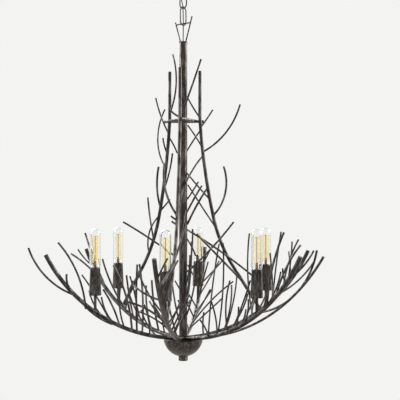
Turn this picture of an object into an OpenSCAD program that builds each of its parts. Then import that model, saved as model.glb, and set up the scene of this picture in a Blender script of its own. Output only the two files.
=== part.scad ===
// Tiered twig chandelier with six candle lamps, hung from a ceiling canopy by a short chain.
// The origin is the centre of the ceiling face, +Z is up and +X runs along the first arm.

/* [Chain and canopy] */
// Canopy diameter
canopy_d = 127; // [110:1:160]
// Canopy depth
canopy_h = 24; // [18:1:32]
// Canopy sheet thickness
canopy_wall = 1.2; // [0.8:0.1:2]
// Width of the flat rim that meets the ceiling
canopy_land = 3.5; // [2:0.5:5]
// Distance between the outlet box screws
box_screw_pitch = 88.9; // [80:0.1:95]
// Outlet box screw hole diameter
box_screw_hole_d = 4.8; // [4:0.1:6]
// Mounting strap width
strap_w = 18; // [14:1:24]
// Mounting strap thickness
strap_t = 2; // [1.5:0.1:3]
// Length of the strap past each outlet box screw
strap_past = 8; // [6:0.5:12]
// Pipe thread diameter of the nipples
nipple_d = 9.7; // [8:0.1:12]
// Wire way through the nipples
nipple_bore = 6.4; // [5:0.1:7]
// Wire diameter of the chain links
link_wire_d = 3.2; // [2.5:0.1:4]
// Outside length of a chain link
link_len = 46; // [40:1:60]
// Outside width of a chain link
link_w = 23; // [20:0.5:30]
// Play between one link and the next
link_play = 0.3; // [0.2:0.1:0.6]
// Supply cord diameter
cord_d = 2.6; // [2:0.1:3]

/* [Crown and stem] */
// Crown rod diameter
crown_rod_d = 3.3; // [2.5:0.1:4]
// Height of the crown bar above the stem
crown_bar_h = 42; // [36:1:50]
// Distance from the axis to a crown rod at the stem
crown_foot_out = 8; // [7.5:0.1:9]
// Distance from the axis to a crown rod at the bar
crown_bar_out = 22; // [18:0.5:26]
// Stem diameter
stem_d = 19; // [17:0.5:22]
// Bore of the stem
stem_bore = 14; // [12:0.5:15]
// Stem length down to the hub plate
stem_len = 692.5; // [600:1:800]
// Thickness of the stem cap
cap_t = 2.5; // [2:0.1:4]

/* [Hanger rods] */
// Hanger rod diameter
hanger_d = 8; // [7:0.1:9]
// Distance from the axis to the upright stretch of a hanger rod
hanger_out = 41.5; // [38:0.5:48]
// Top of the hanger rods below the stem top
hanger_drop = 66; // [50:1:90]
// Distance from the axis to the foot of a hanger rod, on its arm
hanger_foot_out = 197.5; // [190:0.5:205]
// Depth of the brace bars below the top of the hanger rods
brace_drop = 118; // [105:1:125]
// Brace bar diameter
brace_d = 7; // [6:0.1:7.5]
// How far a brace bar runs past a rod
brace_past = 9; // [7:0.5:14]

/* [Arms] */
// Arm rod diameter
arm_d = 9.5; // [8:0.1:10]
// Bend radius of the arms
arm_bend = 364; // [350:1:380]
// Bend of the arms from the hub to the tip, in degrees
arm_sweep = 63; // [61:0.5:66]
// Twig diameter
twig_d = 3.9; // [3:0.1:4]

/* [Hub] */
// Hub plate and bowl diameter
bowl_d = 90; // [84:1:100]
// Bowl depth
bowl_h = 34; // [28:1:40]
// Bowl sheet thickness
bowl_wall = 1.2; // [0.8:0.1:2]
// Hub plate thickness
plate_t = 3; // [2:0.5:5]
// Finial diameter
finial_d = 22; // [18:0.5:26]
// Finial height
finial_h = 11; // [9:0.5:15]

/* [Candles and lamps] */
// Distance from the axis to a candle
candle_out = 211; // [208:0.5:215]
// Candle post diameter
post_d = 6.4; // [6:0.1:7]
// Height of the candle cups above the middle of the arms at the hub
cup_base_h = 105; // [100:0.5:112]
// Candle cup height
cup_h = 62; // [56:1:70]
// Candle cup diameter at the top
cup_top_d = 23; // [22.5:0.5:26]
// Candle cup diameter at the bottom
cup_foot_d = 28; // [25:0.5:30]
// Candle cup wall
cup_wall = 1; // [0.8:0.1:1.2]
// Lamp glass diameter
glass_d = 25.4; // [24:0.1:28]
// Height of the lamp glass above its cup
glass_rise = 89; // [80:1:110]
// Lamp glass thickness
glass_wall = 0.8; // [0.6:0.1:1.2]
// Lamp screw shell diameter
shell_d = 11.8; // [11.5:0.1:12]
// Lamp socket diameter
socket_d = 19.4; // [18:0.1:19.8]

/* [Fits] */
// Gap left by the weld between a twig and what carries it
weld_gap = 0.15; // [0.1:0.05:0.3]
// Play of a thread or a spigot in its hole, on the radius
thread_play = 0.05; // [0.03:0.01:0.1]
// Play of a loose hole round a pin, on the radius
hole_play = 0.3; // [0.2:0.05:0.5]
// Gap between neighbouring round rods
rod_gap = 0.2; // [0.15:0.05:0.3]

/* [Hidden] */
$fn = 48;
iron = [0.23, 0.22, 0.21];
worn_iron = [0.36, 0.35, 0.33];
steel = [0.62, 0.62, 0.6];
brass = [0.72, 0.58, 0.32];
phenolic = [0.12, 0.11, 0.1];
clear = [0.85, 0.9, 0.92, 0.35];
amber = [0.85, 0.6, 0.2];

arm_count = 6;
hanger_count = 3;
arm_step = 360 / arm_count;
hanger_step = 360 / hanger_count;
// The hanger rods stand on every second arm, from the second one on
hanger_start = arm_step;
function hanger_turn(k) = hanger_start + (k - 1) * hanger_step;

// Directions in plan of the two planes that the chain links take in turn
plane_a = 0;
plane_b = 90;

// Heights of the chain, from the ceiling down
link_half = (link_len - link_w) / 2;
link_bow = (link_w - link_wire_d) / 2;
link_reach = link_half + link_bow;
contact = link_wire_d + link_play;
collar_h = 6;
loop_boss_h = 11;
loop_wire_d = 4;
loop_bow = 9.5;
nipple_grip = 4;
loop_top_z = -canopy_h - collar_h;
loop_z = loop_top_z - loop_boss_h - loop_bow + loop_wire_d / 2;
pivot_1_z = loop_z - loop_bow;
link_1_z = pivot_1_z + (link_wire_d + loop_wire_d) / 2 + link_play - link_reach;
pivot_2_z = link_1_z - link_reach;
link_2_z = pivot_2_z + contact - link_reach;
pivot_3_z = link_2_z - link_reach;
link_3_z = pivot_3_z + contact - link_reach;
bar_z = link_3_z - link_reach + (link_wire_d + crown_rod_d) / 2 + link_play;

// Heights of the fixture
stem_top_z = bar_z - crown_bar_h;
stem_end_z = stem_top_z - cap_t - stem_len;
arm_z = stem_end_z + arm_d / 2 + rod_gap;
hanger_top_z = stem_top_z - hanger_drop;
plate_under_z = stem_end_z - plate_t;
bowl_foot_z = plate_under_z - bowl_h;
bowl_flat_r = finial_d / 2 + 1;
stem_tapped = 16;
finial_grip = 7;
cup_z = arm_z + cup_base_h;
cup_floor = 1.5;
socket_top_z = cup_z + cup_h - 10;
shell_len = 17;
nipple_r = nipple_d / 2;

// Bends of a hanger rod from the top down: radius and degrees
rod_bends = [[200, 4], [1450, 9], [356, 21]];
// A thin stretch is slimmer by this much and runs this far into its neighbours
lap_slim = 0.05;
lap_len = 0.5;

// Hole that the supply cord passes, and the lock nuts' width across their corners past the nipple
cord_hole_r = cord_d / 2 + 0.9;
nut_past = 3.5;

// Twigs: station, how far the tip lies out, to the side and up from the root, and how far the
// middle of the twig bows outwards and to the side. The station is in degrees along an arm, or in
// mm down a hanger rod. On the stem it is followed by the direction in plan in which the twig grows.
// A last number makes the twig that many times as thick as the others.
arm_twig_rows = [
    [
        [12, 6, -40, 45, 4, 0], [14, 312, -30, 191, 35, 0, 1.4], [21, 22, -20, 117, -8, 0],
        [23, 34, 24, 112, 0, 4], [25, 18, -14, 50, 2, 0], [27, 6, 14, 37, 3, 0],
        [29, 30, -25, 58, 4, 0], [18.5, 14, 16, 110, 8, 0], [33, -4, 15, 40, -3, 0],
        [38.5, 34, -30, 72, 4, 0], [37.2, 159, -22, 140, 30, 0, 1.2], [46, 54, 14, 112, -8, 0, 1.2],
        [52, -2, -8, 33, -2, 0], [44, -24, 25, 101, 0, 3], [16, 12, -38, 84, 5, 0],
        [34, 12, 46, 84, 6, 0], [41, 30, 20, 160, -9, 0, 1.3]
    ],
    [
        [42.5, 86, -18, 78, 9, 0, 1.1], [52, 56, 6, 58, 4, 0, 1.3], [45, 36, -10, 120, -7, 0, 1.1],
        [47.5, 2, -22, 104, 2, 0], [39, 12, -22, 165, -2, 0], [29, 3, 26, 196, -4, 10],
        [10, 35, 20, 212, -4, 0], [8, -5, -15, 56, -2, 0], [14, 2, -25, 210, 6, 0],
        [17, 40, 25, 127, 5, 0], [25, 48, 34, 76, 5, 5], [36.5, 19, -32, 80, 2, -6],
        [20, 22, -40, 80, 5, 0], [50, 10, 34, 66, 2, 4]
    ],
    [
        [18, 38, -98, 104, -4, 6], [15, 27, -75, 70, 4, 0], [21, 52, -36, 75, 6, 0],
        [31, 12, 30, 44, 4, 0], [27, 22, -40, 60, 5, 0], [45, 4, -55, 60, 6, 0],
        [42, -4, 32, 64, 5, 0], [52, 60, 12, 90, 12, 0], [38, 30, -48, 90, 8, 0],
        [24, 12, 50, 90, 6, 0], [12, 30, 32, 70, 5, 0], [46, 45, 40, 50, 8, 0],
        [33.5, -14, -30, 108, -6, 0], [56, 10, -22, 45, 4, 0]
    ],
    [
        [29, 55, 34, 132, 0, 10, 1.2], [25.8, 48, -25, 100, 8, -6, 1.2], [21, 33, -12, 77, 5, 0],
        [43.2, 104, -24, 140, 4, 0, 1.3], [16, 35, -20, 100, 6, 0, 1.2], [12, 5, 20, 124, 4, 0, 1.2],
        [38.5, 139, 14, 107, -12, 0, 1.2], [55, 14, 40, 44, 5, 0], [19.5, 15, 45, 95, 8, 0],
        [23.5, -8, 36, 110, -6, 0], [30.5, 20, -48, 70, 6, 0, 1.2],
        [9, 28, -24, 80, 5, 0]
    ],
    [
        [45, 105, 0, 108, 17, 0, 1.2], [40, 60, -10, 140, -12, 0, 1.2], [47, 12, 8, 40, 4, 0, 1.2],
        [42.5, -72, 12, -56, 7, 0, 1.2], [29, 56, -38, 104, -4, -4], [20, 40, -15, 150, -9, 0, 1.3],
        [25, 32, -25, 82, -4, 0, 1.2], [27, 40, 34, 64, 6, 4], [18, 4, 15, 156, 2, 0, 1.2],
        [16, -3, -30, 158, -5, 0, 1.2], [13, 20, 20, 74, -4, 0], [23, 20, 45, 110, 8, 0],
        [31, 25, -50, 60, 4, -8], [10, 30, -28, 60, 6, 0]
    ],
    [
        [46, -33, -66, 29, 0, -5, 1.1], [30, -18, -92, 48, 0, 8, 1.2], [23, -30, -80, 42, 0, 6],
        [28, -26, 20, 57, -3, 0], [31, -20, 24, 42, -3, 0], [21, -40, 32, 72, 5, 0],
        [19, -50, 16, 50, 4, 0], [51, -82, 44, 163, -14, 8, 1.2], [26, -20, -50, 60, 5, 0],
        [41, 44, 30, 80, 8, 0], [55, 15, 25, 45, 4, 0], [48, 20, 42, 75, 8, 0],
        [38, 12, -55, 95, 8, -4], [24, 25, 45, 85, 6, 0], [16, 14, -44, 70, 5, 0],
        [11, 34, -14, 80, 5, 0]
    ]
];
hanger_twig_rows = [
    [
        [110, -23, 20, 48, -2, -2], [133, 27, -10, 42, 0, 0], [138, -31, 14, -52, 0, 3],
        [190, 95, 0, 115, 15, 0, 1.2], [198, -70, -30, -114, -8, 0, 1.1], [180, -42, -16, 50, 0, -3],
        [342, 29, 5, 117, 18, 0, 1.3], [303, -53, 14, 63, 0, 3], [372, -60, 30, 102, 0, 2],
        [518, -133, -40, 116, -3, -9, 1.3]
    ],
    [
        [98, -13, 4, 137, -15, 0, 1.1], [147, 38, 4, 88, 4, 0], [153, -10, -20, -39, 0, -2],
        [227, 12, -10, 140, 26, -2], [194, 5, 10, 38, 2, 0], [285, -11, -22, 93, 0, -5, 1.1],
        [323, 6, 0, 98, 8, 0, 1.3], [402, 19, 0, 101, 2, 0, 1.1], [331, -12, -22, 28, 0, 0, 1.1],
        [342, 20, 16, -83, 10, 5]
    ],
    [
        [437, -11, -120, 75, 0, 2, 1.1], [342, -11, -32, 119, 0, -12, 1.3],
        [352, 4, -14, 10, 0, -1, 1.1], [362, 4, -12, 8, 0, -1, 1.1], [114, 3, -20, 14, 0, -1, 1.2]
    ]
];
stem_twig_rows = [
    [151, -28, 14, 35, 109, 0, 0, 1.2], [398, 10, 40, 0, 62, -1, 0, 1.2],
    [426, 45, 46, 0, 84, -2, 0, 1.3], [367, 45, 26, 0, 41, 0, 0],
    [536, 40, 108, 0, 116, 4, 0, 1.2], [438, 57, 165, -8, -114, 4, 0, 1.2],
    [558, 110, 14, 4, 110, 4, 0], [458, 75, 26, 0, -42, 2, 0],
    [646, -30, 20, 6, 150, 6, 0], [636, 15, 26, 0, 140, 6, 0], [656, 195, 24, 0, 170, 6, 0],
    [626, 90, 26, 4, 160, 6, 0], [586, -50, 24, 0, 120, 5, 0], [566, -6, 22, 0, 130, 6, 0]
];

// Route of the supply cord from the canopy to the inside of the stem: it passes each link beside
// its wires and crosses each link's plane inside the link
cord_points = [
    [0, 0, -2], [0, 0, -20], [0, 0, -38], [3.5, -4, -53], [3.5, -4, -60], [0, -5, -76],
    [-3.5, -3.5, -92], [-3.5, -3.5, -98], [-5, 0, -115], [-3.5, 3.5, -131], [-3.5, 3.5, -138],
    [0, 0, -154], [3.5, -3.5, -170], [3.5, -3.5, -177], [0, 0, -196], [0, 0, -212], [0, 0, -240]
];

// Geometry helpers
function arm_at(a) = [arm_bend * sin(a), 0, arm_z + arm_bend * (1 - cos(a))];
arm_start = asin((stem_d / 2 + hole_play) / arm_bend);
candle_station = asin(candle_out / arm_bend);

// A hanger rod runs upright, bends out in steps and ends in a straight stretch whose foot lies on
// the centre line of its arm. The upright stretch takes up the height that is left.
function sum(v, i = 0) = i == len(v) ? 0 : v[i] + sum(v, i + 1);
leans = [for (i = [0:len(rod_bends)]) sum([for (j = [0:1:i - 1]) rod_bends[j][1]])];
foot_lean = leans[len(rod_bends)];
bends_out = sum([for (i = [0:len(rod_bends) - 1]) rod_bends[i][0] * (cos(leans[i]) - cos(leans[i + 1]))]);
bends_down = sum([for (i = [0:len(rod_bends) - 1]) rod_bends[i][0] * (sin(leans[i + 1]) - sin(leans[i]))]);
foot_station = asin(hanger_foot_out / arm_bend);
foot_len = (hanger_foot_out - hanger_out - bends_out) / sin(foot_lean);
hanger_upright = hanger_top_z - arm_at(foot_station)[2] - bends_down - foot_len * cos(foot_lean);
// Stretches from the top down: bend radius and degrees, or 0 and a length
hanger_bends = concat([[0, hanger_upright]], rod_bends, [[0, foot_len]]);

// Place on a hanger rod at a length down from its top: distance out, height and lean
function stretch_len(s) = s[0] == 0 ? s[1] : s[0] * s[1] * PI / 180;
function step_out(s, len, lean) =
    s[0] == 0 ? len * sin(lean) : s[0] * (cos(lean) - cos(lean + len / s[0] * 180 / PI));
function step_down(s, len, lean) =
    s[0] == 0 ? len * cos(lean) : s[0] * (sin(lean + len / s[0] * 180 / PI) - sin(lean));
function down_rod(len, i = 0, out = hanger_out, z = hanger_top_z, lean = 0) =
    let (s = i < len(hanger_bends) - 1 ? hanger_bends[i] : [0, len], part = min(len, stretch_len(s)))
    let (o = out + step_out(s, part, lean), d = z - step_down(s, part, lean))
    let (b = s[0] == 0 ? lean : lean + part / s[0] * 180 / PI)
    len <= stretch_len(s) ? [o, d, b] : down_rod(len - stretch_len(s), i + 1, o, d, b);

// A round rod from point p by the vector c, bent to an arc whose middle bows towards the vector b
module bowed_rod(p, c, b, r) {
    span = norm(c);
    bow = max(norm(b), 0.5);
    bend = (span * span / 4 + bow * bow) / (2 * bow);
    half = asin(span / 2 / bend);
    heading = atan2(c[1], c[0]);
    climb = asin(c[2] / span);
    down = [sin(climb) * cos(heading), sin(climb) * sin(heading), -cos(climb)];
    roll = atan2([-sin(heading), cos(heading), 0] * b, down * b);
    translate(p) rotate([roll, -climb, heading]) rotate([90, 0, 0])
        translate([span / 2, bend - bow, 0]) rotate([0, 0, 270 - half])
            rotate_extrude(angle = 2 * half) translate([bend, 0]) circle(r = r, $fn = 16);
}

// A twig in a row's form, whose numbers from `first` on are its reach, its bow and its thickness
module twig(p, t, first = 1) {
    reach = [t[first], t[first + 1], t[first + 2]];
    thick = len(t) > first + 5 ? t[first + 5] : 1;
    bowed_rod(p, reach, [t[first + 3], t[first + 4], 0], thick * twig_d / 2);
}

// A stretch of the arm curve as a round rod, between two stations
module arm_curve(r, from, to) {
    translate([0, 0, arm_z + arm_bend]) rotate([90, 0, 0]) rotate([0, 0, 270 + from])
        rotate_extrude(angle = to - from, $fn = 240) translate([arm_bend, 0]) circle(r = r, $fn = 32);
}

module tube(r, bore, h) {
    difference() {
        cylinder(h = h, r = r);
        translate([0, 0, -1]) cylinder(h = h + 2, r = bore);
    }
}

// Ceiling fitting
module canopy() {
    rim_r = canopy_d / 2;
    land_r = 16;
    ball_rise = (rim_r * rim_r - land_r * land_r - canopy_h * canopy_h) / (2 * canopy_h);
    ball_r = sqrt(rim_r * rim_r + ball_rise * ball_rise);
    color(iron) difference() {
        intersection() {
            translate([0, 0, ball_rise]) sphere(r = ball_r, $fn = 96);
            translate([0, 0, -canopy_h]) cylinder(h = canopy_h, r = rim_r + 1);
        }
        intersection() {
            translate([0, 0, ball_rise]) sphere(r = ball_r - canopy_wall, $fn = 96);
            translate([0, 0, canopy_wall - canopy_h]) cylinder(h = canopy_h + 1, r = rim_r - canopy_land);
        }
        translate([0, 0, -canopy_h - 1]) cylinder(h = canopy_h, r = nipple_r + hole_play);
    }
}

module mounting_strap() {
    color(steel) difference() {
        translate([-box_screw_pitch / 2 - strap_past, -strap_w / 2, -strap_t])
            cube([box_screw_pitch + 2 * strap_past, strap_w, strap_t]);
        for (s = [-1, 1])
            translate([s * box_screw_pitch / 2, 0, -strap_t - 1])
                cylinder(h = strap_t + 2, r = box_screw_hole_d / 2);
        translate([0, 0, -strap_t - 1]) cylinder(h = strap_t + 2, r = nipple_r + thread_play);
    }
}

module canopy_nipple() {
    color(steel) translate([0, 0, loop_top_z - nipple_grip])
        tube(nipple_r, nipple_bore / 2, nipple_grip - loop_top_z);
}

module locknut(h) {
    difference() {
        cylinder(h = h, r = nipple_r + nut_past, $fn = 6);
        translate([0, 0, -1]) cylinder(h = h + 2, r = nipple_r + thread_play);
    }
}

module strap_locknut() {
    nut_h = 3;
    color(steel) translate([0, 0, -strap_t - nut_h]) locknut(nut_h);
}

module screw_collar() {
    grips = 16;
    grip_r = 1;
    collar_r = nipple_r + 5;
    color(iron) difference() {
        translate([0, 0, loop_top_z]) cylinder(h = collar_h, r = collar_r);
        translate([0, 0, loop_top_z - 1]) cylinder(h = collar_h + 2, r = nipple_r + thread_play);
        for (i = [0:grips - 1])
            rotate([0, 0, i * 360 / grips]) translate([collar_r + grip_r / 2, 0, loop_top_z - 1])
                cylinder(h = collar_h + 2, r = grip_r);
    }
}

module canopy_loop() {
    boss_wall = 2.2;
    socket_h = nipple_grip + 0.5;
    color(iron) difference() {
        union() {
            translate([0, 0, loop_top_z - loop_boss_h]) cylinder(h = loop_boss_h, r = nipple_r + boss_wall);
            translate([0, 0, loop_z]) rotate([0, 0, plane_a]) rotate([90, 0, 0])
                rotate_extrude() translate([loop_bow, 0]) circle(r = loop_wire_d / 2, $fn = 32);
        }
        translate([0, 0, loop_top_z - socket_h]) cylinder(h = socket_h + 1, r = nipple_r + thread_play);
        translate([0, 0, loop_z]) cylinder(h = loop_top_z - loop_z, r = cord_hole_r);
    }
}

// Chain
module chain_link(z, plane) {
    color(iron) translate([0, 0, z]) rotate([0, 0, plane]) {
        for (s = [-1, 1]) {
            translate([0, 0, s * link_half]) rotate([90, s > 0 ? 0 : 180, 0])
                rotate_extrude(angle = 180) translate([link_bow, 0]) circle(r = link_wire_d / 2, $fn = 32);
            translate([s * link_bow, 0, -link_half])
                cylinder(h = 2 * link_half, r = link_wire_d / 2, $fn = 32);
        }
    }
}

// Smooth route through the cord points, by cubic arcs between neighbours
function cord_at(i, t) =
    let (n = len(cord_points), a = cord_points[max(i - 1, 0)], b = cord_points[i])
    let (c = cord_points[i + 1], d = cord_points[min(i + 2, n - 1)])
    0.5 * (2 * b + (c - a) * t + (2 * a - 5 * b + 4 * c - d) * t * t
        + (3 * b - a - 3 * c + d) * t * t * t);
cord_steps = 3;
cord_sides = 8;
cord_route = [
    for (i = [0:len(cord_points) - 2], j = [0:cord_steps - 1]) cord_at(i, j / cord_steps),
    cord_points[len(cord_points) - 1]
];
function cord_way(i) =
    let (n = len(cord_route) - 1, d = i == 0 || i == n ? [0, 0, -1]
        : cord_route[i + 1] - cord_route[i - 1])
    d / norm(d);

module supply_cord() {
    n = len(cord_route);
    rings = [
        for (i = [0:n - 1], k = [0:cord_sides - 1])
            let (w = cord_way(i), u0 = [1, 0, 0] - w[0] * w, u = u0 / norm(u0), v = cross(w, u))
            cord_route[i] + cord_d / 2 * (cos(k * 360 / cord_sides) * u + sin(k * 360 / cord_sides) * v)
    ];
    function at(i, k) = i * cord_sides + k % cord_sides;
    sides = [
        for (i = [0:n - 2], k = [0:cord_sides - 1], half = [0, 1])
            half == 0 ? [at(i, k), at(i + 1, k), at(i + 1, k + 1)]
                : [at(i, k), at(i + 1, k + 1), at(i, k + 1)]
    ];
    top = [[for (k = [0:cord_sides - 1]) at(0, k)]];
    foot = [[for (k = [cord_sides - 1:-1:0]) at(n - 1, k)]];
    color("dimgray") polyhedron(points = rings, faces = concat(sides, top, foot));
}

// Crown and stem
crown_lean = atan2(crown_bar_out - crown_foot_out, crown_bar_h);
crown_tip = [6, 15];
crown_sink = 4;

module crown_rod(side) {
    past = crown_tip[side > 0 ? 1 : 0];
    rotate([0, 0, plane_a]) intersection() {
        translate([side * crown_foot_out, 0, stem_top_z]) rotate([0, side * crown_lean, 0])
            translate([0, 0, -crown_sink])
                cylinder(h = crown_bar_h / cos(crown_lean) + past + crown_sink, r = crown_rod_d / 2);
        translate([0, 0, stem_top_z]) cylinder(h = 2 * crown_bar_h, r = 2 * crown_bar_out);
    }
}

module crown_rods() {
    color(iron) {
        crown_rod(-1);
        crown_rod(1);
    }
}

module crown_bar() {
    reach = crown_bar_out;
    color(iron) difference() {
        translate([0, 0, bar_z]) rotate([0, 0, plane_a]) rotate([0, 90, 0])
            translate([0, 0, -reach]) cylinder(h = 2 * reach, r = crown_rod_d / 2);
        for (side = [-1, 1])
            rotate([0, 0, plane_a]) translate([side * crown_foot_out, 0, stem_top_z])
                rotate([0, side * crown_lean, 0])
                    cylinder(h = 2 * crown_bar_h, r = crown_rod_d / 2 + weld_gap);
    }
}

module stem_cap() {
    plug_h = 8;
    through = cap_t + plug_h + 2;
    color(worn_iron) difference() {
        union() {
            translate([0, 0, stem_top_z - cap_t]) cylinder(h = cap_t, r = stem_d / 2 + 1);
            translate([0, 0, stem_top_z - cap_t - plug_h])
                cylinder(h = plug_h, r = stem_bore / 2 - thread_play);
        }
        translate([0, 0, stem_top_z + 1 - through]) cylinder(h = through, r = cord_hole_r);
    }
}

module stem() {
    color(iron) difference() {
        translate([0, 0, stem_end_z]) cylinder(h = stem_len, r = stem_d / 2);
        translate([0, 0, stem_end_z + stem_tapped]) cylinder(h = stem_len, r = stem_bore / 2);
        translate([0, 0, stem_end_z - 1]) cylinder(h = stem_tapped + 2, r = nipple_r + thread_play);
    }
}

// Hanger rods and their brace
module rod_stretch(s, r, extra) {
    if (s[0] == 0) {
        translate([0, 0, -s[1] - extra]) cylinder(h = s[1] + 2 * extra, r = r, $fn = 32);
    } else {
        more = extra / s[0] * 180 / PI;
        translate([s[0], 0, 0]) rotate([90, 0, 0]) rotate([0, 0, 180 - more])
            rotate_extrude(angle = s[1] + 2 * more, $fn = 480)
                translate([s[0], 0]) circle(r = r, $fn = 32);
    }
}

module hanger_curve(r) {
    starts = [
        for (i = 0, len = 0; i < len(hanger_bends); len = len + stretch_len(hanger_bends[i]), i = i + 1)
            down_rod(len)
    ];
    for (i = [0:len(hanger_bends) - 1]) {
        slim = i % 2;
        p = starts[i];
        translate([p[0], 0, p[1]]) rotate([0, -p[2], 0])
            rod_stretch(hanger_bends[i], r - slim * lap_slim, slim * lap_len);
    }
}

module hanger_rod(k) {
    color(iron) rotate([0, 0, hanger_turn(k)]) difference() {
        hanger_curve(hanger_d / 2);
        arm_curve(arm_d / 2 + weld_gap, foot_station - 6, foot_station + 6);
    }
}

// The three bars form a pinwheel: each runs outside one rod and inside the next, sticks out past
// the first and butts against the bar after it
brace_place = down_rod(brace_drop);
brace_off = ((hanger_d + brace_d) / 2 + rod_gap) / cos(brace_place[2]);
brace_span = brace_place[0] * sqrt(3);
brace_tilt = asin(2 * brace_off / brace_span);
brace_side = brace_span * cos(brace_tilt) / 2;

module brace_line(k, from, to, r) {
    rotate([0, 0, hanger_turn(k + 0.5)]) translate([brace_place[0] / 2, 0, brace_place[1]])
        rotate([0, 0, 90 + brace_tilt]) rotate([0, 90, 0]) translate([0, 0, from])
            cylinder(h = to - from, r = r);
}

module brace_bar(k) {
    color(iron) difference() {
        brace_line(k, -brace_side - brace_past, brace_side + brace_off / tan(60), brace_d / 2);
        brace_line(k + 1, -brace_side - brace_past - 1, 0, brace_d / 2 + weld_gap);
    }
}

module hanger_twigs(k) {
    seat_run = 18;
    color(iron) rotate([0, 0, hanger_turn(k)])
        for (t = hanger_twig_rows[k - 1]) {
            seat = down_rod(t[0]);
            p = [seat[0], 0, seat[1]];
            difference() {
                twig(p, t);
                translate(p) rotate([0, -seat[2], 0]) translate([0, 0, -seat_run])
                    cylinder(h = 2 * seat_run, r = hanger_d / 2 + weld_gap, $fn = 32);
            }
        }
}

module stem_twigs() {
    seat_run = 40;
    color(iron) for (t = stem_twig_rows)
        rotate([0, 0, t[1]]) difference() {
            twig([stem_d / 2, 0, stem_top_z - t[0]], t, 2);
            translate([0, 0, stem_top_z - t[0] - seat_run])
                cylinder(h = 2 * seat_run, r = stem_d / 2 + weld_gap);
        }
}

// Arms
module arm(k) {
    color(iron) rotate([0, 0, (k - 1) * arm_step]) arm_curve(arm_d / 2, arm_start, arm_sweep);
}

module arm_twigs(k) {
    seat_turn = 12;
    color(iron) rotate([0, 0, (k - 1) * arm_step])
        for (t = arm_twig_rows[k - 1]) {
            p = arm_at(t[0]);
            difference() {
                twig(p, t);
                arm_curve(arm_d / 2 + weld_gap, max(t[0] - seat_turn, arm_start), t[0] + seat_turn);
            }
        }
}

// Hub
module hub_plate() {
    wire_holes_out = 24;
    wire_hole_r = 2.5;
    color(iron) difference() {
        translate([0, 0, plate_under_z]) cylinder(h = plate_t, r = bowl_d / 2);
        translate([0, 0, plate_under_z - 1]) cylinder(h = plate_t + 2, r = nipple_r + thread_play);
        for (i = [0:arm_count - 1])
            rotate([0, 0, i * arm_step]) translate([wire_holes_out, 0, plate_under_z - 1])
                cylinder(h = plate_t + 2, r = wire_hole_r);
    }
}

module hub_nipple() {
    low = bowl_foot_z - finial_grip;
    high = stem_end_z + stem_tapped - 2;
    color(steel) translate([0, 0, low]) tube(nipple_r, nipple_bore / 2, high - low);
}

module hub_locknut() {
    nut_h = 4;
    color(steel) translate([0, 0, plate_under_z - nut_h]) locknut(nut_h);
}

module hub_bowl() {
    rim_r = bowl_d / 2;
    ball_rise = (rim_r * rim_r - bowl_flat_r * bowl_flat_r - bowl_h * bowl_h) / (2 * bowl_h);
    ball_r = sqrt(rim_r * rim_r + ball_rise * ball_rise);
    color(worn_iron) translate([0, 0, plate_under_z]) difference() {
        intersection() {
            translate([0, 0, ball_rise]) sphere(r = ball_r, $fn = 96);
            translate([0, 0, -bowl_h]) cylinder(h = bowl_h, r = rim_r + 1);
        }
        intersection() {
            translate([0, 0, ball_rise]) sphere(r = ball_r - bowl_wall, $fn = 96);
            translate([0, 0, bowl_wall - bowl_h]) cylinder(h = bowl_h + 1, r = rim_r);
        }
        translate([0, 0, -bowl_h - 1]) cylinder(h = bowl_h, r = nipple_r + hole_play);
    }
}

module finial() {
    edge = 1.5;
    socket_h = finial_grip + 1;
    color(worn_iron) translate([0, 0, bowl_foot_z - finial_h]) difference() {
        rotate_extrude() polygon([
            [0, 0], [finial_d / 2 - edge, 0], [finial_d / 2, edge],
            [finial_d / 2, finial_h], [0, finial_h]
        ]);
        translate([0, 0, finial_h - socket_h]) cylinder(h = socket_h + 1, r = nipple_r + thread_play);
    }
}

module wire_splices() {
    splice_r = 5;
    splice_h = 15;
    splice_out = 22;
    color("orange") for (a = [30, 150, 270])
        rotate([0, 0, a]) translate([splice_out, 0, plate_under_z - rod_gap - splice_h])
            cylinder(h = splice_h, r1 = splice_r - 1.5, r2 = splice_r);
}

// Candles and lamps
module at_candles() {
    for (i = [0:arm_count - 1]) rotate([0, 0, i * arm_step]) translate([candle_out, 0, 0]) children();
}

module candle_posts() {
    color(iron) for (i = [0:arm_count - 1]) rotate([0, 0, i * arm_step]) difference() {
        translate([candle_out, 0, arm_at(candle_station)[2]])
            cylinder(h = cup_z + cup_floor + 4 - arm_at(candle_station)[2], r = post_d / 2);
        arm_curve(arm_d / 2 + weld_gap, candle_station - 3, candle_station + 3);
    }
}

module candle_cup(k) {
    color(worn_iron) rotate([0, 0, (k - 1) * arm_step]) translate([candle_out, 0, cup_z]) difference() {
        cylinder(h = cup_h, r1 = cup_foot_d / 2, r2 = cup_top_d / 2);
        translate([0, 0, cup_floor])
            cylinder(h = cup_h, r1 = cup_foot_d / 2 - cup_wall, r2 = cup_top_d / 2 - cup_wall);
        translate([0, 0, -1]) cylinder(h = 6, r = post_d / 2 + thread_play);
    }
}

module lamp_sockets() {
    h = socket_top_z - cup_z - cup_floor;
    color(phenolic) at_candles() translate([0, 0, cup_z + cup_floor]) difference() {
        cylinder(h = h, r = socket_d / 2);
        translate([0, 0, h - shell_len - 3]) cylinder(h = shell_len + 4, r = shell_d / 2 + thread_play);
        translate([0, 0, -1]) cylinder(h = 6, r = post_d / 2 + thread_play);
    }
}

module lamp_shells() {
    color(brass) at_candles() translate([0, 0, socket_top_z + 0.5 - shell_len])
        cylinder(h = shell_len, r = shell_d / 2);
}

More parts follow.
